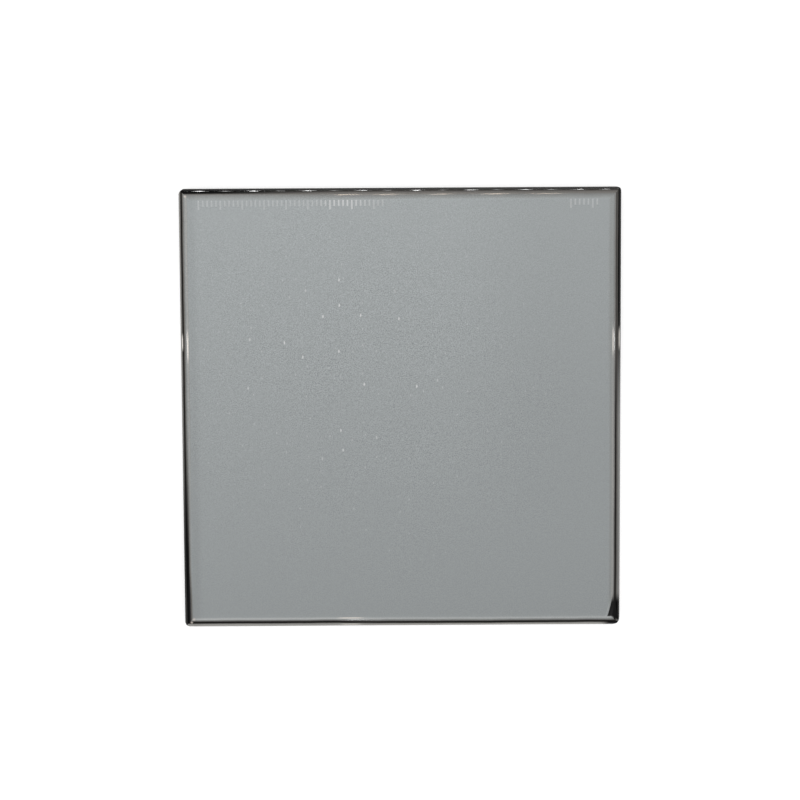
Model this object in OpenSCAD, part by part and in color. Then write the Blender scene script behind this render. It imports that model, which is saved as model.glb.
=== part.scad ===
// Square glass filter plate for a camera's filter tray, lying on its back face.
// The origin is the middle of the back face, and +Z points out of the front face.
// +Y runs towards the top edge, the one that stays uppermost in the tray.
// All four edges are ground and polished by one wheel to a round that is centred
// on the glass's thickness, so the rounds meet in a mitre at each corner.
// The sharp tips of the corners are then dubbed by hand: straight cuts on the left,
// small radii on the right. At the lower right the polish rolled off the front face.

/* [Plate] */
// Width of the plate, between its left and right edges
plate_w = 101.6; // [60:0.1:170]
// Height of the plate, between its bottom and top edges
plate_h = 101.6; // [60:0.1:170]
// Thickness of the glass
plate_t = 4; // [3:0.1:6]

/* [Edge round] */
// How far the round of each edge reaches in over both faces
edge_reach = 1.8; // [0.6:0.05:3]

/* [Corners] */
// Leg of the straight cut across the upper left corner
upper_left_cut = 1.2; // [0.4:0.1:4]
// Leg of the straight cut across the lower left corner
lower_left_cut = 1.1; // [0.4:0.1:4]
// Radius of the upper right corner
upper_right_r = 1.4; // [0.4:0.1:5]
// Radius of the lower right corner
lower_right_r = 2.2; // [0.4:0.1:5]

/* [Polish fall-off] */
// Length of the right edge, up from its lower end, along which the polish rolled off
fall_run = 9; // [5:0.5:30]
// How far in over the face the rolled surface has crept by the bottom edge
fall_in = 1.6; // [0.5:0.1:4]
// Radius of the rolled surface, across the edge
fall_r = 6; // [4:0.5:12]
// Slope in degrees at which the rolled surface leaves the face
fall_slope = 5; // [2:1:12]

/* [Hidden] */
$fn = 96;
glass_grey = "#9a9d9d";
// Cutters run this far past what they cut
over = 1;
half_w = plate_w / 2;
half_h = plate_h / 2;
half_t = plate_t / 2;
// A round reaches in by half the thickness at most, where it is a full half circle
reach = min(edge_reach, half_t);
// The round is part of a circle on the middle plane that stands upright at the
// outline and meets each face at the reach
round_r = (reach * reach + half_t * half_t) / (2 * reach);
// Plan radius of the curve along which the fall-off leaves the face
fall_sweep = (fall_run * fall_run + fall_in * fall_in) / (2 * fall_in);

// Section of the plate across its width or height, with a round at each end
module rounded_section(width) {
    intersection() {
        square([width, plate_t], center = true);
        union() {
            square([width - 2 * reach, plate_t], center = true);
            for (side = [-1, 1])
                translate([side * (width / 2 - round_r), 0])
                    circle(round_r);
        }
    }
}

// Bar that runs along Y, with a round along its left and right edges
module rounded_bar(width, length) {
    rotate([90, 0, 0])
        linear_extrude(length + 2 * over, center = true)
            rounded_section(width);
}

// What a straight cut takes off a corner at the origin, whose glass lies towards -X and -Y
module corner_cut(leg) {
    linear_extrude(plate_t + 2 * over, center = true)
        polygon([[-leg - over, over], [over, over], [over, -leg - over]]);
}

// What a radius takes off a corner at the origin, whose glass lies towards -X and -Y
module corner_radius(r) {
    translate([-r, -r, -half_t - over])
        difference() {
            cube([r + over, r + over, plate_t + 2 * over]);
            translate([0, 0, -over])
                cylinder(r = r, h = plate_t + 4 * over);
        }
}

// What the fall-off takes off the front of the lower right corner.
// The rolled surface is the outside of a ring whose tube has the radius fall_r.
module fall_off() {
    translate([half_w - reach - fall_sweep, fall_run - half_h, half_t])
        difference() {
            translate([0, -fall_run - over, -plate_t - over])
                cube([fall_sweep + fall_in + reach + over, fall_run + over, plate_t + 2 * over]);
            translate([0, 0, -plate_t - 2 * over])
                cylinder(r = fall_sweep, h = plate_t + 4 * over, $fn = 4 * $fn);
            rotate_extrude($fn = 4 * $fn)
                translate([fall_sweep - fall_r * sin(fall_slope), -fall_r * cos(fall_slope)])
                    circle(fall_r);
        }
}

module filter_plate() {
    color(glass_grey)
        translate([0, 0, half_t])
            difference() {
                intersection() {
                    rounded_bar(plate_w, plate_h);
                    rotate([0, 0, 90])
                        rounded_bar(plate_h, plate_w);
                }
                translate([-half_w, half_h, 0])
                    mirror([1, 0, 0])
                        corner_cut(upper_left_cut);
                translate([-half_w, -half_h, 0])
                    rotate([0, 0, 180])
                        corner_cut(lower_left_cut);
                translate([half_w, half_h, 0])
                    corner_radius(upper_right_r);
                translate([half_w, -half_h, 0])
                    mirror([0, 1, 0])
                        corner_radius(lower_right_r);
                fall_off();
            }
}

filter_plate();
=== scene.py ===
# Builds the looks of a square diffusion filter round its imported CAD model.
# Run as a script; it is laid out as an add-on, so its sizes and colours are properties.
import math

import bmesh
import bpy
from bpy.props import FloatProperty, FloatVectorProperty, IntProperty, PointerProperty
from mathutils import Matrix, Vector


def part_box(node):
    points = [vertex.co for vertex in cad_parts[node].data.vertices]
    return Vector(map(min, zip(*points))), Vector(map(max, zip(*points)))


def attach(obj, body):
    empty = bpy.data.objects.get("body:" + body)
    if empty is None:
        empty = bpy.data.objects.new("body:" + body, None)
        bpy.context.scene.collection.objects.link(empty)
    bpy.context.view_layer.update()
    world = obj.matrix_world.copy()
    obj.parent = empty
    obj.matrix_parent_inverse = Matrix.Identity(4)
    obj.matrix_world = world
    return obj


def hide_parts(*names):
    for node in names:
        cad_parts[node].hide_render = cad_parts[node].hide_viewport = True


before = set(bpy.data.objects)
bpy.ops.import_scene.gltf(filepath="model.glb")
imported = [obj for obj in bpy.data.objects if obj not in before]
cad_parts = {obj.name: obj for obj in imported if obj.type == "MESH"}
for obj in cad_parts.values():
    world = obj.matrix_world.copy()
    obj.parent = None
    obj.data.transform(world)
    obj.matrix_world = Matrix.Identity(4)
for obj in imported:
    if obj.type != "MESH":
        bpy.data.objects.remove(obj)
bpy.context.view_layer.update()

bl_info = {
    "name": "Square diffusion filter",
    "version": (1, 0, 0),
    "blender": (4, 5, 0),
    "location": "3D Viewport > Sidebar > Filter",
    "description": "Builds a square plate of grey mist glass with polished edges, and its studio",
    "category": "Add Mesh",
}

NODE = "filter_plate"
BODY = "root"
PLATE_LOW, PLATE_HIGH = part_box(NODE)
HALF_W = (PLATE_HIGH.x - PLATE_LOW.x) / 2
HALF_H = (PLATE_HIGH.y - PLATE_LOW.y) / 2
THICK = PLATE_HIGH.z - PLATE_LOW.z
HALF_T = THICK / 2
MM = 0.001
# Cutters run this far past what they cut
OVER = 0.001
# The fall-off's round is made up to this slope, which lies outside the plate
FALL_END = math.radians(75)
# Faces that meet at more than this are shaded with a sharp edge between them
SHARP_ANGLE = math.radians(4.5)
# The photograph is 800 pixels square
PHOTO_SIDE = 800


def srgb(code):
    """Turns an sRGB hex colour, such as #9fa3a4, into Blender's linear colour."""
    parts = [int(code[i:i + 2], 16) / 255 for i in (1, 3, 5)]
    return [c / 12.92 if c <= 0.04045 else ((c + 0.055) / 1.055) ** 2.4 for c in parts] + [1.0]


def add(tree, kind, inputs=(), stops=(), **settings):
    """Adds a node with its settings. Its inputs go by place or by name, and each takes a value, an
    output of another node, or a node, which stands for the first output that it has in use.
    Stops are a ramp's places and colours."""
    made = tree.nodes.new("ShaderNode" + kind)
    for key, value in settings.items():
        setattr(made, key, value)
    for key, value in inputs.items() if isinstance(inputs, dict) else enumerate(inputs):
        if isinstance(value, bpy.types.Node):
            value = next(socket for socket in value.outputs if socket.enabled)
        if isinstance(value, bpy.types.NodeSocket):
            tree.links.new(value, made.inputs[key])
        else:
            made.inputs[key].default_value = value
    if stops:
        elements = made.color_ramp.elements
        while len(elements) < len(stops):
            elements.new(0.5)
        for element, (place, colour) in zip(elements, stops):
            element.position = place
            element.color = colour
    return made


class GlassSizes(bpy.types.PropertyGroup):
    """Sizes of the glass plate's ground edges and corners"""
    edge_reach: FloatProperty(
        name="Edge reach", description="How far the round of each edge reaches in over both faces",
        default=0.0018, min=0.0005, max=0.002, precision=5, unit="LENGTH", subtype="DISTANCE")
    upper_left_cut: FloatProperty(
        name="Upper left cut", description="Leg of the straight cut across the upper left corner",
        default=0.0012, min=0, precision=5, unit="LENGTH", subtype="DISTANCE")
    lower_left_cut: FloatProperty(
        name="Lower left cut", description="Leg of the straight cut across the lower left corner",
        default=0.0011, min=0, precision=5, unit="LENGTH", subtype="DISTANCE")
    upper_right_radius: FloatProperty(
        name="Upper right radius", description="Radius of the upper right corner",
        default=0.0014, min=0.0001, precision=5, unit="LENGTH", subtype="DISTANCE")
    lower_right_radius: FloatProperty(
        name="Lower right radius", description="Radius of the lower right corner",
        default=0.0022, min=0.0001, precision=5, unit="LENGTH", subtype="DISTANCE")
    fall_run: FloatProperty(
        name="Fall-off run",
        description="Length of the right edge along which the polish rolled off the face",
        default=0.009, min=0.001, precision=4, unit="LENGTH", subtype="DISTANCE")
    fall_in: FloatProperty(
        name="Fall-off reach",
        description="How far in over the face the rolled surface gets by the bottom edge",
        default=0.0016, min=0.0001, precision=5, unit="LENGTH", subtype="DISTANCE")
    fall_radius: FloatProperty(
        name="Fall-off radius", description="Radius of the rolled surface, across the edge",
        default=0.006, min=0.004, precision=4, unit="LENGTH", subtype="DISTANCE")
    fall_slope: FloatProperty(
        name="Fall-off slope", description="Slope at which the rolled surface leaves the face",
        default=math.radians(5), min=0, max=math.radians(12), unit="ROTATION", subtype="ANGLE")
    arc_steps: IntProperty(
        name="Arc steps", description="Faces round each quarter of an edge's round",
        default=24, min=6, max=64)


class GlassFinish(bpy.types.PropertyGroup):
    """Colours and etched marks of the glass plate"""
    face_grey: FloatVectorProperty(
        name="Face", description="Grey of the mist glass as it lies on a white floor",
        default=srgb("#b7bcbd"), size=4, min=0, max=1, subtype="COLOR")
    clearness: FloatProperty(
        name="Clearness", description="Share of the light that goes through the mist unscattered",
        default=0.18, min=0, max=1, subtype="FACTOR")
    mark_length: FloatProperty(
        name="Mark length", description="Length of the long etched marks under the top edge",
        default=0.0021, min=0.0005, precision=5, unit="LENGTH", subtype="DISTANCE")
    mark_pitch: FloatProperty(
        name="Mark pitch", description="Distance from one etched mark to the next",
        default=0.001, min=0.0004, precision=5, unit="LENGTH", subtype="DISTANCE")


class StudioSettings(bpy.types.PropertyGroup):
    """The floor, lamps and camera"""
    floor_white: FloatVectorProperty(
        name="Floor", description="Colour of the paper that the plate lies on",
        default=srgb("#f2f2f2"), size=4, min=0, max=1, subtype="COLOR")
    ambient: FloatProperty(
        name="Ambient light", description="Strength of the soft light from all round",
        default=0.55, min=0)
    camera_distance: FloatProperty(
        name="Camera distance", description="Distance of the camera from the plate",
        default=0.3, min=0.1, unit="LENGTH", subtype="DISTANCE")
    camera_focal: FloatProperty(
        name="Focal length", description="Focal length in pixels of the photograph",
        default=1294.3, min=100)
    camera_tilt: FloatProperty(
        name="Tilt", description="Turn of the camera about the plate's X axis",
        default=math.radians(-3.441), unit="ROTATION", subtype="ANGLE")
    camera_yaw: FloatProperty(
        name="Yaw", description="Turn of the camera about the plate's Y axis",
        default=math.radians(-0.0933), unit="ROTATION", subtype="ANGLE")
    camera_roll: FloatProperty(
        name="Roll", description="Turn of the camera about its own line of sight",
        default=math.radians(-0.3336), unit="ROTATION", subtype="ANGLE")


def solid(name, vertices, faces):
    """Makes an object from points and faces, with its normals facing out. Points nearer to each other
    than a hundredth of a micrometre become one."""
    mesh = bpy.data.meshes.new(name)
    mesh.from_pydata([tuple(v) for v in vertices], [], faces)
    shape = bmesh.new()
    shape.from_mesh(mesh)
    bmesh.ops.remove_doubles(shape, verts=shape.verts, dist=1e-8)
    bmesh.ops.recalc_face_normals(shape, faces=shape.faces)
    shape.to_mesh(mesh)
    shape.free()
    made = bpy.data.objects.new(name, mesh)
    bpy.context.scene.collection.objects.link(made)
    return made


def lofted(name, loops):
    """Skins closed loops of equally many points, one after the other, and caps both ends."""
    count = len(loops[0])
    vertices = [p for loop in loops for p in loop]
    faces = []
    for row in range(len(loops) - 1):
        for k in range(count):
            a, b = row * count + k, row * count + (k + 1) % count
            faces.append([a, b, b + count, a + count])
    faces.append(list(range(count))[::-1])
    faces.append([(len(loops) - 1) * count + k for k in range(count)])
    return solid(name, vertices, faces)


def mitred_plate(sizes):
    """The plate before its corners are dubbed: four equal rounds that meet in mitres."""
    reach = min(sizes.edge_reach, HALF_T)
    radius = (reach ** 2 + HALF_T ** 2) / (2 * reach)
    last = math.asin(HALF_T / radius)
    loops = []
    for k in range(-sizes.arc_steps, sizes.arc_steps + 1):
        angle = last * k / sizes.arc_steps
        inset = radius * (1 - math.cos(angle))
        x, y, z = HALF_W - inset, HALF_H - inset, HALF_T + radius * math.sin(angle)
        loops.append([(-x, -y, z), (x, -y, z), (x, y, z), (-x, y, z)])
    return lofted("plate_blank", loops)


def corner_cutter(name, flat, sign_x, sign_y):
    """A cutter that stands through the plate on a flat outline, at the corner that the signs give."""
    return lofted(name, [[(sign_x * x, sign_y * y, z) for x, y in flat] for z in (-OVER, THICK + OVER)])


def corner_cut(leg, sign_x, sign_y):
    """What a straight cut takes off a corner."""
    past = 2 * leg
    flat = [(HALF_W - leg - past, HALF_H + past), (HALF_W + past, HALF_H + past),
            (HALF_W + past, HALF_H - leg - past)]
    return corner_cutter("corner_cut", flat, sign_x, sign_y)


def corner_radius(radius, sign_x, sign_y, steps):
    """What a radius takes off a corner."""
    x, y = HALF_W - radius, HALF_H - radius
    turns = [math.pi / 2 * k / steps for k in range(steps + 1)]
    flat = [(x + radius * math.cos(a), y + radius * math.sin(a)) for a in turns]
    flat += [(x, HALF_H + OVER), (HALF_W + OVER, HALF_H + OVER), (HALF_W + OVER, y)]
    return corner_cutter("corner_radius", flat, sign_x, sign_y)


def fall_sweep(sizes):
    """Plan radius and centre of the curve along which the fall-off leaves the face."""
    radius = (sizes.fall_run ** 2 + sizes.fall_in ** 2) / (2 * sizes.fall_in)
    return radius, HALF_W - sizes.edge_reach - radius, sizes.fall_run - HALF_H


def fall_off(sizes, steps):
    """What the fall-off takes off the front of the lower right corner, swept round its plan curve."""
    sweep, centre_x, centre_y = fall_sweep(sizes)
    start, end = sizes.fall_slope, FALL_END
    profile = [(sweep, OVER)]
    for k in range(steps + 1):
        a = start + (end - start) * k / steps
        profile.append((sweep + sizes.fall_radius * (math.sin(a) - math.sin(start)),
                        sizes.fall_radius * (math.cos(a) - math.cos(start))))
    profile.append((profile[-1][0], OVER))
    turn = math.asin(min(1, (sizes.fall_run + 2 * OVER) / sweep))
    loops = []
    for k in range(4 * steps + 1):
        a = -turn * k / (4 * steps)
        across, up = math.cos(a), math.sin(a)
        loops.append([(centre_x + r * across, centre_y + r * up, THICK + z) for r, z in profile])
    return lofted("fall_off", loops)


class DIFFUSION_FILTER_OT_glass(bpy.types.Operator):
    """Builds the glass plate with its polished edges, dubbed corners and fall-off"""
    bl_idname = "diffusion_filter.glass"
    bl_label = "Glass plate"

    def execute(self, context):
        sizes = context.scene.filter_sizes
        steps = sizes.arc_steps
        plate = mitred_plate(sizes)
        cutters = [
            corner_cut(sizes.upper_left_cut, -1, 1),
            corner_cut(sizes.lower_left_cut, -1, -1),
            corner_radius(sizes.upper_right_radius, 1, 1, steps),
            corner_radius(sizes.lower_right_radius, 1, -1, steps),
            fall_off(sizes, steps),
        ]
        for cutter in cutters:
            cut = plate.modifiers.new(cutter.name, "BOOLEAN")
            cut.operation = "DIFFERENCE"
            cut.solver = "EXACT"
            cut.object = cutter
        context.view_layer.update()
        finished = plate.evaluated_get(context.evaluated_depsgraph_get())
        mesh = bpy.data.meshes.new_from_object(finished)
        mesh.name = "filter_glass"
        plate.modifiers.clear()
        plate.data = mesh
        for cutter in cutters:
            bpy.data.objects.remove(cutter)
        plate.name = "filter_glass"
        mesh.polygons.foreach_set("use_smooth", [True] * len(mesh.polygons))
        mesh.set_sharp_from_angle(angle=SHARP_ANGLE)
        mesh.materials.clear()
        mesh.materials.append(mist_glass(sizes, context.scene.filter_finish))
        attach(plate, BODY)
        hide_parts(NODE)
        return {"FINISHED"}


# Shades of the polished edge, painted shade and painted reflection: nearly black where the rounds show
# the dark round the plate through the grey glass, brownish grey where they clear towards the face, pale
# where they mirror the lamps.
EDGE_PAINTED_SHADES = {
    "core": "#060606",
    "smoke": "#3b3a38",
    "dusk": "#5c5956",
    "brown": "#7b7874",
    "clear": "#919392",
    "pale": "#a8abaa",
    "haze": "#bab8b4",
    "fringe": "#d6d3ce",
    "line": "#d4d7d6",
}
# The ramps of shades run from the outline to this many millimetres in
EDGE_SPAN = 4.0
# For each side: between which places along it, in millimetres from its middle, the first painted bands
# give way to the last ones. Then the first bands, at its lower or left end, and the last ones:
# how far in from the outline each painted shade lies, in millimetres, and where the open face begins.
EDGE_PAINTED_BANDS = {
    "left": ((-35, 2),
             [(0.2, "smoke"), (0.6, "core"), (1.3, "core"), (1.62, "brown"), (1.85, "pale")], 2.1,
             [(0.25, "haze"), (0.55, "dusk"), (0.75, "core"), (0.9, "core"), (1.18, "brown"),
              (1.42, "clear"), (1.75, "pale"), (1.95, "haze"), (2.12, "pale")], 2.3),
    "right": ((-6, 24),
              [(0.25, "haze"), (0.65, "clear"), (0.95, "brown"), (1.18, "smoke"), (1.3, "core"),
               (1.45, "core"), (1.68, "brown"), (1.85, "pale"), (2.08, "haze"), (2.3, "pale"),
               (2.6, "pale")], 2.9,
              [(0.2, "smoke"), (0.45, "core"), (0.85, "core"), (1.05, "dusk"), (1.2, "dusk"),
               (1.34, "smoke"), (1.62, "brown"), (1.84, "clear"), (2.1, "pale"), (2.7, "pale")], 3.2),
    "top": ((-45, -6),
            [(0.2, "smoke"), (0.45, "core"), (1.25, "core"), (1.52, "brown"), (1.75, "clear"),
             (2.3, "pale")], 2.95,
            [(0.2, "smoke"), (0.75, "smoke"), (1.0, "dusk"), (1.2, "brown"), (1.55, "brown"),
             (1.95, "clear"), (2.5, "pale")], 2.85),
    "bottom": ((-16, 0),
               [(0.2, "fringe"), (0.8, "haze"), (1.0, "dusk"), (1.15, "core"), (1.38, "core"),
                (1.6, "dusk"), (1.78, "clear"), (1.97, "line"), (2.15, "line")], 2.5,
               [(0.2, "fringe"), (0.55, "fringe"), (0.8, "brown"), (1.0, "core"), (1.2, "core"),
                (1.4, "dusk"), (1.58, "clear"), (1.78, "pale"), (1.98, "line")], 2.45),
}
# The painted bands wander in and out by this many millimetres over this length, as hand polishing leaves
# the rounds
WANDER, WANDER_LENGTH = 0.1, 9.09
# Low on the left, between these heights, the painted bands lie this much further in
LOW_LEFT, LOW_LEFT_IN = (-36.0, -46.0), 0.28

# Painted highlights: small pale glints of the lamps painted along the edges: the side, the glint's middle
# and half length along it, how far in from the outline it lies, its half width, and its strength
EDGE_GLINTS = (
    ("left", 15.6, 2.4, 0.6, 0.2, 1.0),
    ("left", 14.6, 4.6, 1.9, 0.22, 0.95),
    ("right", 16.0, 3.2, 0.52, 0.2, 1.0),
    ("right", 15.4, 4.2, 2.06, 0.18, 1.0),
    ("bottom", -12.0, 3.2, 0.6, 0.24, 1.0),
    ("bottom", -12.0, 3.8, 2.2, 0.22, 1.0),
)
GLINT_WHITE = "#fffaf2"

# Painted highlights where a straight cut meets both rounds, on the two cut corners on the left: how far in
# from the left edge and how far up the plate they lie, how far below the face, how far they reach, and
# their strength
CORNER_GLINTS = (
    (1.75, HALF_H / MM - 1.95, 0.0, 0.4, 0.75),
    (2.35, 2.05 - HALF_H / MM, 0.0, 0.45, 0.55),
    (1.8, 1.3 - HALF_H / MM, 0.15, 0.4, 0.6),
)
GLINT_PINK = "#efe4da"

# The painted shade of the fall-off leans in by this much for each millimetre down, and its pale rim, a
# painted highlight, is this strong
FALL_LEAN, FALL_PAINTED_RIM = 0.065, 0.45

# Width of the mist's grains and of the clouds in it, and the place round which its grain is strongest.
# The grains of the real mist are finer. They are drawn as coarse as they need to be to show.
GRAIN_WIDTH, CLOUD_WIDTH = 0.2381, 20.0
MIST_MIDDLE = (-9.0, 14.0, 0.0)

# Painted highlights: coarse grains of the mist painted white as glints of the light, in two sizes: the side
# of the square that may hold one, its half width, the share of squares without one, its strength, and
# round which place, and between which distances from it, they thin out
PAINTED_SPARKLES = (
    (4.2, 0.24, 0.6, 0.75, (-14.0, 11.0), (28.0, 18.0)),
    (2.6, 0.17, 0.6, 0.3, (-10.0, 8.0), (62.0, 24.0)),
)

# The etched scale: the place of its first mark, how far below the top edge its marks begin, half the
# width of a stroke, every how many marks a long one comes, how long a short one is against it, and
# between which counts of marks its two rows lie
FIRST_MARK, MARK_GAP, HALF_STROKE = -46.0, 2.9, 0.19
LONG_EVERY, SHORT_SHARE = 5.0, 0.65
MARK_ROWS = ((-0.5, 42.5), (84.5, 91.5))
# The ends and sides of a mark are soft over this much, and the marks are painted brightest, as a painted
# highlight, this many millimetres left of the middle
MARK_BLUR, MARK_GLINT_PLACE = 0.05, 13.0
# Places this near to the front face belong to it
SKIN = 0.1
# The polished faces wave a little, over this length and by this many metres
WAVE_LENGTH, WAVE_HEIGHT = 4.0, 0.00002
# Roughness of the rounds, of the faces and of the etched marks
ROUND_GLOSS, FACE_GLOSS, FROSTED = 0.07, 0.16, 0.55
WHITE = "#ffffff"
# Settings of a node that maps a range with soft ends, and of one that mixes colours
SOFT = {"interpolation_type": "SMOOTHSTEP"}
RGBA = {"data_type": "RGBA"}


class PlatePlaces:
    """Where on the plate a place of its surface lies. It is in millimetres, as all lengths in the
    glass's material are."""

    def __init__(self, tree):
        place = add(tree, "TexCoord").outputs["Object"]
        self.in_mm = add(tree, "VectorMath", {0: place, "Scale": 1 / MM}, operation="SCALE")
        self.x, self.y, self.z = add(tree, "SeparateXYZ", [self.in_mm]).outputs
        self.along = {"left": self.y, "right": self.y, "top": self.x, "bottom": self.x}
        self.from_side = {
            "left": add(tree, "Math", [self.x, HALF_W / MM], operation="ADD"),
            "right": add(tree, "Math", [HALF_W / MM, self.x], operation="SUBTRACT"),
            "top": add(tree, "Math", [HALF_H / MM, self.y], operation="SUBTRACT"),
            "bottom": add(tree, "Math", [self.y, HALF_H / MM], operation="ADD"),
        }
        sides = self.from_side
        self.near_x = add(tree, "Math", [sides["left"], sides["right"]], operation="MINIMUM")
        self.near_y = add(tree, "Math", [sides["top"], sides["bottom"]], operation="MINIMUM")
        self.inward = add(tree, "Math", [self.near_x, self.near_y], operation="MINIMUM")
        self.on_front = add(tree, "Math", [self.z, THICK / MM - SKIN], operation="GREATER_THAN")


def overlap(tree, *masks):
    """Where all of some masks are: their product."""
    shared = masks[0]
    for mask in masks[1:]:
        shared = add(tree, "Math", [shared, mask], operation="MULTIPLY")
    return shared


def apart(tree, value, middle):
    """How far a value is from a middle, either way."""
    step = add(tree, "Math", [value, middle], operation="SUBTRACT")
    return add(tree, "Math", [step], operation="ABSOLUTE")


def painted_edge_shading(tree, plate, finish):
    """Painted shade and painted reflections of the polished edge, by depth from the outline, up to the open
    face.
    """
    wander = add(tree, "TexNoise", {"Vector": plate.in_mm, "Scale": 1 / WANDER_LENGTH, "Detail": 2.0})
    wobble = add(tree, "Math", [wander, 2 * WANDER, -WANDER], operation="MULTIPLY_ADD")
    shade = {}
    for side, (turn, first, first_face, last, last_face) in EDGE_PAINTED_BANDS.items():
        inset = add(tree, "Math", [plate.from_side[side], wobble], operation="ADD")
        if side == "left":
            further_in = add(tree, "MapRange", [plate.y, *LOW_LEFT, 0.0, -LOW_LEFT_IN], **SOFT)
            inset = add(tree, "Math", [inset, further_in], operation="ADD")
        depth = add(tree, "Math", [inset, EDGE_SPAN], operation="DIVIDE")
        ends = []
        for bands, face in ((first, first_face), (last, last_face)):
            stops = [(mm / EDGE_SPAN, srgb(EDGE_PAINTED_SHADES[name])) for mm, name in bands]
            stops.append((face / EDGE_SPAN, finish.face_grey))
            ends.append(add(tree, "ValToRGB", [depth], stops))
        turned = add(tree, "MapRange", [plate.along[side], *turn], **SOFT)
        shade[side] = add(tree, "Mix", {0: turned, 6: ends[0], 7: ends[1]}, **RGBA)

    # Mitres: the nearest side rules
    at_right = add(tree, "Math", [plate.x, 0.0], operation="GREATER_THAN")
    upright = add(tree, "Mix", {0: at_right, 6: shade["left"], 7: shade["right"]}, **RGBA)
    at_bottom = add(tree, "Math", [plate.y, 0.0], operation="LESS_THAN")
    level = add(tree, "Mix", {0: at_bottom, 6: shade["top"], 7: shade["bottom"]}, **RGBA)
    level_rules = add(tree, "Math", [plate.near_y, plate.near_x], operation="LESS_THAN")
    return add(tree, "Mix", {0: level_rules, 6: upright, 7: level}, **RGBA)


def painted_fall_off_shade(tree, plate, sizes, colour):
    """The surface that the polish rolled off at the lower right: painted shade, with a painted highlight as
    its pale rim.
    """
    core, pale_line = srgb(EDGE_PAINTED_SHADES["core"]), srgb(EDGE_PAINTED_SHADES["line"])
    bottom, right_end = plate.from_side["bottom"], HALF_W / MM
    sweep, centre_x, centre_y = (v / MM for v in fall_sweep(sizes))
    flat = add(tree, "CombineXYZ", [plate.x, plate.y])
    far = add(tree, "VectorMath", [flat, (centre_x, centre_y, 0.0)], operation="DISTANCE")
    # How far a place is past the curve on which the surface leaves the face. The painted shade leans in a
    # little further than that.
    beyond = add(tree, "Math", [far, sweep], operation="SUBTRACT")
    up = add(tree, "Math", [plate.y, centre_y], operation="SUBTRACT")
    past = add(tree, "Math", [up, -FALL_LEAN, beyond], operation="MULTIPLY_ADD")
    # The painted shade stops above the bottom round, along a slant, and a thin fringe of the right edge
    # stays pale beside it
    slant = add(tree, "Math", [bottom, 1.6, plate.x], operation="MULTIPLY_ADD")
    slant_end = add(tree, "MapRange", [slant, right_end + 0.9, right_end + 1.9], **SOFT)
    over_round = add(tree, "MapRange", [bottom, 2.1, 2.4], **SOFT)
    above = add(tree, "Math", [over_round, slant_end], operation="MAXIMUM")
    below = add(tree, "MapRange", [up, -1.0, -3.6], **SOFT)
    rightwards = add(tree, "Math", [plate.x, centre_x], operation="GREATER_THAN")
    off_fringe = add(tree, "MapRange", [plate.from_side["right"], 0.12, 0.4], **SOFT)
    here = overlap(tree, below, above, rightwards, off_fringe)
    rim = add(tree, "MapRange", [apart(tree, past, -0.3), 0.1, 0.32, 1.0, 0.0], **SOFT)
    rim_run = add(tree, "MapRange", [up, -2.0, -5.0], **SOFT)
    painted_rim_share = overlap(tree, rim, rim_run, here, FALL_PAINTED_RIM)
    colour = add(tree, "Mix", {0: painted_rim_share, 6: colour, 7: pale_line}, **RGBA)
    dark = add(tree, "MapRange", [past, -0.1, 0.1], **SOFT)
    colour = add(tree, "Mix", {0: overlap(tree, dark, here), 6: colour, 7: core}, **RGBA)
    # Round the lower right corner the outermost part of the bottom round is painted dark too, as painted
    # shade
    by_corner = add(tree, "MapRange", [plate.x, right_end - 5.0, right_end - 2.4], **SOFT)
    outermost = add(tree, "MapRange", [bottom, 1.2, 0.9], **SOFT)
    return add(tree, "Mix", {0: overlap(tree, by_corner, outermost), 6: colour, 7: core}, **RGBA)


def painted_glints(tree, plate, colour):
    """Painted highlights: pale glints of the lamps along the front of the edges."""
    front_half = add(tree, "Math", [plate.z, THICK / MM / 2], operation="GREATER_THAN")
    for side, middle, half, depth, width, share in EDGE_GLINTS:
        off_middle = apart(tree, plate.along[side], middle)
        off_depth = apart(tree, plate.from_side[side], depth)
        lengthwise = add(tree, "MapRange", [off_middle, 0.3 * half, half, share, 0.0], **SOFT)
        across = add(tree, "MapRange", [off_depth, 0.4 * width, width, 1.0, 0.0], **SOFT)
        glint_mask = overlap(tree, lengthwise, across, front_half)
        colour = add(tree, "Mix", {0: glint_mask, 6: colour, 7: srgb(GLINT_WHITE)}, **RGBA)
    return colour


def mist(tree, plate):
    """Brightness of the mist: fine grain, strongest just above the middle and in some clouds. It is
    lighter towards the top, and a little to the left."""
    grain = add(tree, "TexNoise", {
        "Vector": plate.in_mm, "Scale": 1 / GRAIN_WIDTH, "Detail": 1.0, "Roughness": 0.6})
    cloud = add(tree, "TexNoise", {"Vector": plate.in_mm, "Scale": 1 / CLOUD_WIDTH, "Detail": 3.0})
    off_middle = add(tree, "VectorMath", [plate.in_mm, MIST_MIDDLE], operation="DISTANCE")
    by_place = add(tree, "MapRange", [off_middle, 5.0, 72.0, 1.25, 0.35], **SOFT)
    by_cloud = add(tree, "MapRange", [cloud, 0.35, 0.65, 0.75, 1.1])
    speck = add(tree, "Math", [grain, 0.5], operation="SUBTRACT")
    grainy = add(tree, "Math", [speck, overlap(tree, by_place, by_cloud), 1.0], operation="MULTIPLY_ADD")
    rise = add(tree, "Math", [plate.x, -0.18, plate.y], operation="MULTIPLY_ADD")
    top_lighter = add(tree, "MapRange", [rise, -60.0, 60.0, 0.83, 1.17])
    # It is a little darker beside the left edge, and over the upper right
    left = plate.from_side["left"]
    beside = overlap(tree, add(tree, "MapRange", [left, 1.9, 2.3, 0.0, 0.1], **SOFT),
                     add(tree, "MapRange", [left, 2.6, 5.0, 1.0, 0.0], **SOFT))
    upper_right = overlap(tree, add(tree, "MapRange", [plate.x, 8.0, 35.0, 0.0, 0.06], **SOFT),
                          add(tree, "MapRange", [plate.y, -40.0, 5.0], **SOFT))
    dimmed = [add(tree, "Math", [1.0, part], operation="SUBTRACT") for part in (beside, upper_right)]
    return overlap(tree, grainy, top_lighter, *dimmed)


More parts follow.
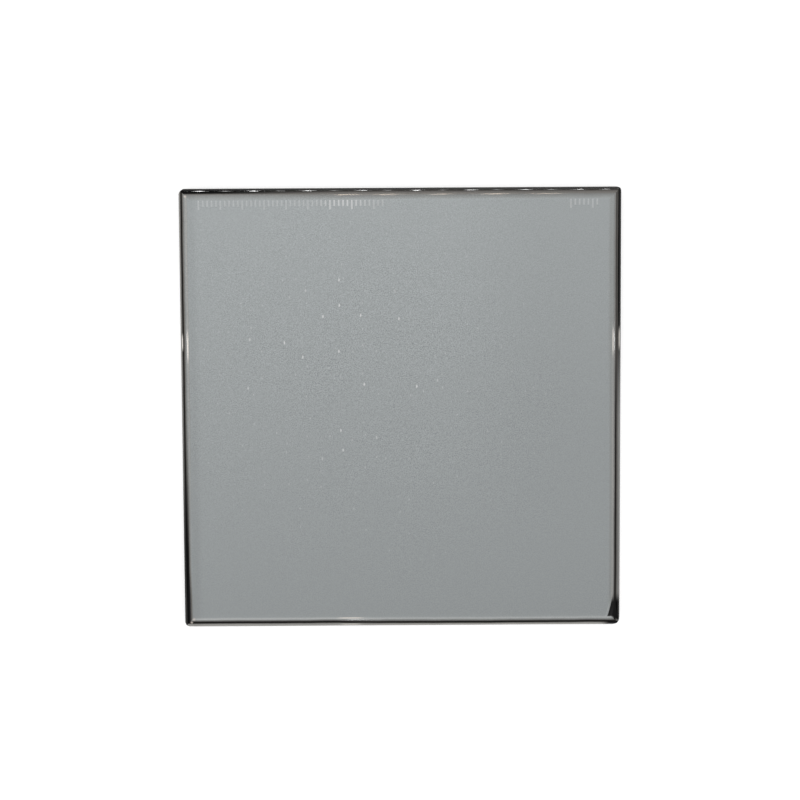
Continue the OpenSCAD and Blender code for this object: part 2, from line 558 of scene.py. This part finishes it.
def painted_sparkles(tree, plate, colour):
    """Painted highlights: sparse coarse grains painted as white glints, most of them left of the middle."""
    # Points are twice as high as they are wide
    flat = add(tree, "VectorMath", [plate.in_mm, (1.0, 0.5, 0.0)], operation="MULTIPLY")
    off_edge = add(tree, "Math", [plate.inward, 3.2], operation="GREATER_THAN")
    for cell, size, empty, glint, centre, reach in PAINTED_SPARKLES:
        point = add(tree, "TexVoronoi", {"Vector": flat, "Scale": 1 / cell}, voronoi_dimensions="2D")
        chance, gleam = add(tree, "SeparateColor", [point.outputs["Color"]]).outputs[:2]
        chosen = add(tree, "Math", [chance, empty], operation="GREATER_THAN")
        gleaming = add(tree, "MapRange", [gleam, 0.0, 0.6, 0.25, 1.0], **SOFT)
        spot_ends = (0.5 * size / cell, size / cell, 1.0, 0.0)
        spot = add(tree, "MapRange", [point.outputs["Distance"], *spot_ends], **SOFT)
        away = add(tree, "VectorMath", [plate.in_mm, (*centre, 0.0)], operation="DISTANCE")
        zone = add(tree, "MapRange", [away, *reach], **SOFT)
        share = overlap(tree, spot, chosen, gleaming, zone, off_edge, plate.on_front, glint)
        colour = add(tree, "Mix", {0: share, 6: colour, 7: srgb(WHITE)}, **RGBA)
    return colour


def etched_marks(tree, plate, finish):
    """Where the plain scale of frosted marks is etched, just under the top edge."""
    pitch, long_mark = finish.mark_pitch / MM, finish.mark_length / MM
    short_mark = SHORT_SHARE * long_mark
    from_first = add(tree, "Math", [plate.x, FIRST_MARK - pitch / 2], operation="SUBTRACT")
    count = add(tree, "Math", [from_first, pitch], operation="DIVIDE")
    index = add(tree, "Math", [count], operation="FLOOR")
    part = add(tree, "Math", [count], operation="FRACT")
    off_mark = add(tree, "Math", [apart(tree, part, 0.5), pitch], operation="MULTIPLY")
    over = add(tree, "Math", [index, LONG_EVERY], operation="FLOORED_MODULO")
    is_long = add(tree, "Math", [over, 0.0, 0.5], operation="COMPARE")
    length = add(tree, "Math", [is_long, long_mark - short_mark, short_mark], operation="MULTIPLY_ADD")
    down = add(tree, "Math", [plate.from_side["top"], MARK_GAP], operation="SUBTRACT")
    past_end = add(tree, "Math", [down, length], operation="SUBTRACT")
    rows = []
    for first, last in MARK_ROWS:
        after = add(tree, "Math", [index, first], operation="GREATER_THAN")
        before = add(tree, "Math", [index, last], operation="LESS_THAN")
        rows.append(overlap(tree, after, before))
    in_rows = add(tree, "Math", rows, operation="MAXIMUM")
    stroke_ends = (HALF_STROKE - MARK_BLUR, HALF_STROKE + MARK_BLUR, 1.0, 0.0)
    stroke = add(tree, "MapRange", [off_mark, *stroke_ends], **SOFT)
    begun = add(tree, "MapRange", [down, -MARK_BLUR, MARK_BLUR], **SOFT)
    unended = add(tree, "MapRange", [past_end, -MARK_BLUR, MARK_BLUR, 1.0, 0.0], **SOFT)
    return overlap(tree, stroke, begun, unended, in_rows, plate.on_front)


def painted_corner_glints(tree, plate, colour):
    """Where a straight cut meets both rounds, a small painted highlight stands in for a glint."""
    for from_left, up, below, reach, share in CORNER_GLINTS:
        point = (from_left - HALF_W / MM, up, THICK / MM - below)
        away = add(tree, "VectorMath", [plate.in_mm, point], operation="DISTANCE")
        corner_glint = add(tree, "MapRange", [away, 0.3 * reach, reach, share, 0.0], **SOFT)
        colour = add(tree, "Mix", {0: corner_glint, 6: colour, 7: srgb(GLINT_PINK)}, **RGBA)
    return colour


def mist_glass(sizes, finish):
    """Grey glass with fine mist in it, its edges ground and polished.
    The mist greys whatever lies under the plate, and painted highlights make it sparkle a little; the
    polished edge is painted nearly black, as painted shade with painted reflections, and has a clean gloss."""
    made = bpy.data.materials.new("mist_glass_polished")
    made.use_nodes = True
    tree = made.node_tree
    tree.nodes.clear()
    plate = PlatePlaces(tree)
    colour = painted_edge_shading(tree, plate, finish)
    colour = painted_fall_off_shade(tree, plate, sizes, colour)
    colour = painted_glints(tree, plate, colour)

    # The darker the edge is painted, the less light it lets through
    green = add(tree, "SeparateColor", [colour]).outputs["Green"]
    against_face = add(tree, "Math", [green, 1 / finish.face_grey[1]], operation="MULTIPLY")
    lightness = add(tree, "Math", [against_face, 1.0], operation="MINIMUM")
    clear_ends = (1.9, 3.4, 0.7 * finish.clearness, finish.clearness)
    clearness = add(tree, "MapRange", [plate.inward, *clear_ends], **SOFT)
    through = overlap(tree, lightness, clearness)

    bright = mist(tree, plate)
    light = add(tree, "CombineColor", [bright, bright, bright])
    colour = add(tree, "Mix", {0: 1.0, 6: colour, 7: light}, blend_type="MULTIPLY", **RGBA)
    colour = painted_sparkles(tree, plate, colour)
    etched = etched_marks(tree, plate, finish)
    # The marks are frosted white, and painted brighter to the left of the middle as a painted highlight
    mark_white_and_glint = add(tree, "MapRange", [apart(tree, plate.x, -MARK_GLINT_PLACE), 1.5, 7.0, 0.6, 0.2], **SOFT)
    colour = add(tree, "Mix", {0: overlap(tree, etched, mark_white_and_glint), 6: colour, 7: srgb(WHITE)}, **RGBA)
    colour = painted_corner_glints(tree, plate, colour)

    polish = add(tree, "MapRange", [plate.inward, 1.6, 2.4, ROUND_GLOSS, FACE_GLOSS], **SOFT)
    roughness = add(tree, "Mix", {0: etched, 2: polish, 3: FROSTED})
    wave = add(tree, "TexNoise", {"Vector": plate.in_mm, "Scale": 1 / WAVE_LENGTH, "Detail": 0.0})
    normal = add(tree, "Bump", {"Height": wave, "Strength": 0.2, "Distance": WAVE_HEIGHT})
    glass = add(tree, "BsdfPrincipled", {
        "Base Color": colour, "Roughness": roughness, "IOR": 1.52, "Transmission Weight": through,
        "Specular IOR Level": 0.4, "Normal": normal})
    add(tree, "OutputMaterial", {"Surface": glass})
    return made


# The paper's own light as it is seen through glass and as it is seen direct, and its shade in a gloss
PAPER_GLOW, PAPER_IN_GLOSS = (0.42, 0.48), "#a0a0a0"


def matt_paper(studio):
    """Matt white paper. Seen direct or through glass it has a little light of its own, so that
    the background is white and the shadow stays soft. A gloss shows it dimmer."""
    paper = bpy.data.materials.new("matt_white_paper")
    paper.use_nodes = True
    tree = paper.node_tree
    tree.nodes.clear()
    ray = add(tree, "LightPath").outputs
    seen = add(tree, "Math", [ray["Is Camera Ray"], ray["Is Transmission Ray"]], operation="MAXIMUM")
    shade = add(tree, "Mix", {
        0: ray["Is Glossy Ray"], 6: studio.floor_white, 7: srgb(PAPER_IN_GLOSS)}, **RGBA)
    matt = add(tree, "BsdfDiffuse", {"Color": shade})
    own = add(tree, "MapRange", [ray["Is Camera Ray"], 0.0, 1.0, *PAPER_GLOW])
    glow = add(tree, "Emission", {"Color": srgb(WHITE), "Strength": own})
    both = add(tree, "AddShader", [matt, glow])
    shown = add(tree, "MixShader", [seen, matt, both])
    add(tree, "OutputMaterial", {"Surface": shown})
    return paper


# The floor is a square this many metres from its middle to its sides, just under the plate
FLOOR_HALF, FLOOR_GAP = 6.0, 0.00002

# Four soft boxes hang round the camera, clear of what the flat face mirrors. The inner end of each
# round mirrors the box on its side as a pale line. Each has a name, a place and a size, in metres.
SOFT_BOXES = (
    ("back_box", (0, 0.32, 0.45), (0.6, 0.26)),
    ("front_box", (0, -0.32, 0.45), (0.6, 0.26)),
    ("left_box", (-0.32, 0, 0.45), (0.26, 0.38)),
    ("right_box", (0.32, 0.03, 0.45), (0.26, 0.26)),
)
BOX_WATTS = 0.26

# Small lamps just outside the view bead the top edge with light. Each is placed for the bead that
# it makes: by pairs of a bright and a faint one, whose first places and pitch are in millimetres
# along the edge, and whose strengths follow pair by pair.
BEAD_PITCH = 12.46
BEAD_LAMPS = (("bead_lamp", -45.8, 0.0052), ("faint_lamp", -39.8, 0.0014))
BEAD_SHARES = ((1, 1), (1.1, 0.6), (0.9, 0.6), (0.7, 0.8), (0.9, 0.7), (0.9, 0.6), (0.75, 0.9), (0.6, 1.3))
BEAD_LAMP_AWAY, BEAD_LAMP_UP, BEAD_LAMP_SIZE = 0.12, 0.012, (0.0018, 0.018)
# Lamps higher up make warm beads at the inner end of the top round, at these places along it
WARM_BEADS = (-11.9, -2.3, 9.9, 22.8, 34.8)
WARM_SPREAD, WARM_AWAY, WARM_WATTS = 1.67, 0.088, 0.012
WARM_LAMP_SIZE, WARM_WHITE = (0.006, 0.04), "#ffe8d2"
# These lamps hang this high, and all the small lamps aim at this height on the edges
HIGH, EDGE_AIM = 0.2, 0.003
# One high lamp on each other side adds a glint by the painted highlights: name, place, target, size, watts,
# colour
GLINT_LAMPS = (
    ("left_high_lamp", (-0.14, 0.0121, HIGH), (-HALF_W, 0.0152, EDGE_AIM), (0.007, 0.04), 0.014, "#fff6ea"),
    ("right_high_lamp", (0.14, 0.0121, HIGH), (HALF_W, 0.0152, EDGE_AIM), (0.005, 0.04), 0.014, WHITE),
    ("bottom_high_lamp", (-0.0168, -0.159, HIGH), (-0.012, -HALF_H, EDGE_AIM), (0.008, 0.04), 0.014, WHITE),
)
# A lamp narrower than this only shows in gloss, and doesn't light the floor
NARROW_LAMP = 0.1

# The camera looks at this place, in millimetres, which was fitted with its angles to the plate's
# four corners in the photograph
CAMERA_AIM = (-0.261, 1.984, 2.0)
SENSOR_WIDTH = 36


class DIFFUSION_FILTER_OT_studio(bpy.types.Operator):
    """Lays the white floor, hangs the lamps and places the camera"""
    bl_idname = "diffusion_filter.studio"
    bl_label = "Studio"

    def execute(self, context):
        studio = context.scene.filter_studio
        self.floor(studio)
        self.surroundings(context.scene, studio)
        self.lamps(studio)
        self.camera(context.scene, studio)
        context.scene.view_settings.view_transform = "Standard"
        return {"FINISHED"}

    def floor(self, studio):
        signs = ((-1, -1), (1, -1), (1, 1), (-1, 1))
        corners = [(x * FLOOR_HALF, y * FLOOR_HALF, -FLOOR_GAP) for x, y in signs]
        floor = solid("floor", corners, [[0, 1, 2, 3]])
        floor.data.materials.append(matt_paper(studio))

    def surroundings(self, scene, studio):
        world = bpy.data.worlds.new("studio_surroundings")
        scene.world = world
        world.use_nodes = True
        tree = world.node_tree
        tree.nodes.clear()
        # Brighter overhead than at the horizon, as in a room, and dimmer where a gloss shows it,
        # as walls are that a lamp has not reached. The camera sees it as plain white.
        ambient = studio.ambient
        way = add(tree, "TexCoord").outputs["Generated"]
        rise = add(tree, "SeparateXYZ", [way]).outputs["Z"]
        ray = add(tree, "LightPath").outputs
        open_sky = add(tree, "MapRange", [rise, 0.0, 0.8, 0.75 * ambient, 1.15 * ambient])
        mirrored = add(tree, "MapRange", [rise, 0.2, 1.0, 0.1 * ambient, 0.7 * ambient])
        unseen = add(tree, "Mix", {0: ray["Is Glossy Ray"], 2: open_sky, 3: mirrored})
        strength = add(tree, "Mix", {0: ray["Is Camera Ray"], 2: unseen, 3: 1.0})
        light = add(tree, "Background", {"Color": srgb(WHITE), "Strength": strength})
        add(tree, "OutputWorld", {"Surface": light})

    def lamps(self, studio):
        for name, place, size in SOFT_BOXES:
            self.lamp(name, place, (place[0], place[1], 0), size, BOX_WATTS, WHITE)
        spread = 1 + BEAD_LAMP_AWAY / studio.camera_distance
        for k, shares in enumerate(BEAD_SHARES):
            for (name, first, watts), share in zip(BEAD_LAMPS, shares):
                along = (first + BEAD_PITCH * k) * MM
                self.lamp(f"{name}_{k}", (along * spread, HALF_H + BEAD_LAMP_AWAY, BEAD_LAMP_UP),
                          (along, HALF_H, EDGE_AIM), BEAD_LAMP_SIZE, watts * share, WHITE)
        for k, mm in enumerate(WARM_BEADS):
            along = mm * MM
            self.lamp(f"high_lamp_{k}", (along * WARM_SPREAD, HALF_H + WARM_AWAY, HIGH),
                      (along, HALF_H, EDGE_AIM), WARM_LAMP_SIZE, WARM_WATTS, WARM_WHITE)
        for lamp in GLINT_LAMPS:
            self.lamp(*lamp)

    def lamp(self, name, place, target, size, watts, colour):
        data = bpy.data.lights.new(name, "AREA")
        data.shape = "RECTANGLE"
        data.size, data.size_y = size
        data.energy = watts
        data.color = srgb(colour)[:3]
        made = bpy.data.objects.new(name, data)
        made.location = place
        made.rotation_euler = (Vector(target) - Vector(place)).to_track_quat("-Z", "Y").to_euler()
        made.visible_camera = False
        made.visible_diffuse = size[0] > NARROW_LAMP
        bpy.context.scene.collection.objects.link(made)

    def camera(self, scene, studio):
        data = bpy.data.cameras.new("camera")
        made = bpy.data.objects.new("camera", data)
        scene.collection.objects.link(made)
        turn = (Matrix.Rotation(studio.camera_tilt, 3, "X") @ Matrix.Rotation(studio.camera_yaw, 3, "Y")
                @ Matrix.Rotation(studio.camera_roll, 3, "Z"))
        place = Vector(CAMERA_AIM) * MM + turn @ Vector((0, 0, studio.camera_distance))
        made.matrix_world = Matrix.Translation(place) @ turn.to_4x4()
        data.sensor_width = SENSOR_WIDTH
        data.lens = studio.camera_focal * SENSOR_WIDTH / PHOTO_SIDE
        data.clip_start, data.clip_end = 0.01, 50
        scene.camera = made


class DIFFUSION_FILTER_PT_sidebar(bpy.types.Panel):
    """Lists the filter's sizes, finish and studio"""
    bl_idname = "DIFFUSION_FILTER_PT_sidebar"
    bl_label = "Square diffusion filter"
    bl_space_type = "VIEW_3D"
    bl_region_type = "UI"
    bl_category = "Filter"

    def draw(self, context):
        for title, group, button in (
                ("Glass plate", context.scene.filter_sizes, "diffusion_filter.glass"),
                ("Finish", context.scene.filter_finish, None),
                ("Studio", context.scene.filter_studio, "diffusion_filter.studio")):
            box = self.layout.box()
            box.label(text=title)
            for key in group.bl_rna.properties.keys():
                if key not in ("rna_type", "name"):
                    box.prop(group, key)
            if button:
                box.operator(button)


CLASSES = (GlassSizes, GlassFinish, StudioSettings, DIFFUSION_FILTER_OT_glass, DIFFUSION_FILTER_OT_studio,
           DIFFUSION_FILTER_PT_sidebar)


def register():
    for item in CLASSES:
        bpy.utils.register_class(item)
    bpy.types.Scene.filter_sizes = PointerProperty(type=GlassSizes)
    bpy.types.Scene.filter_finish = PointerProperty(type=GlassFinish)
    bpy.types.Scene.filter_studio = PointerProperty(type=StudioSettings)


def unregister():
    del bpy.types.Scene.filter_studio
    del bpy.types.Scene.filter_finish
    del bpy.types.Scene.filter_sizes
    for item in reversed(CLASSES):
        bpy.utils.unregister_class(item)


def main():
    register()
    bpy.ops.diffusion_filter.glass()
    bpy.ops.diffusion_filter.studio()


if __name__ == "__main__":
    main()
